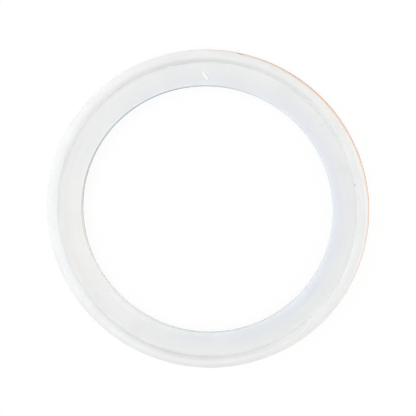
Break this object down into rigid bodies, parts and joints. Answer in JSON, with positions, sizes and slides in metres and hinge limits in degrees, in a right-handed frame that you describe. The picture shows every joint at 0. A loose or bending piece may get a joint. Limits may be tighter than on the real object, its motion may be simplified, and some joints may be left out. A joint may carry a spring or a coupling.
{
  "type": "sanitary clamp gasket",
  "caption": "Flat ring gasket in translucent silicone, with a half-round bead along its rim that seats in the grooves of clamp ferrules.",
  "frame": {"origin": "on the axis of the bore, at mid-thickness of the web", "axes": "+Z along the axis of the bore, out of the face that has the nick; +X and +Y lie in the mid-plane of the web, with the nick near +Y"},
  "size_m": [0.0866, 0.0866, 0.005],
  "materials": {
    "silicone": "milky translucent silicone, satin moulded surface"
  },
  "bodies": {
    "root": {"gasket_ring": "silicone"}
  },
  "joints": []
}
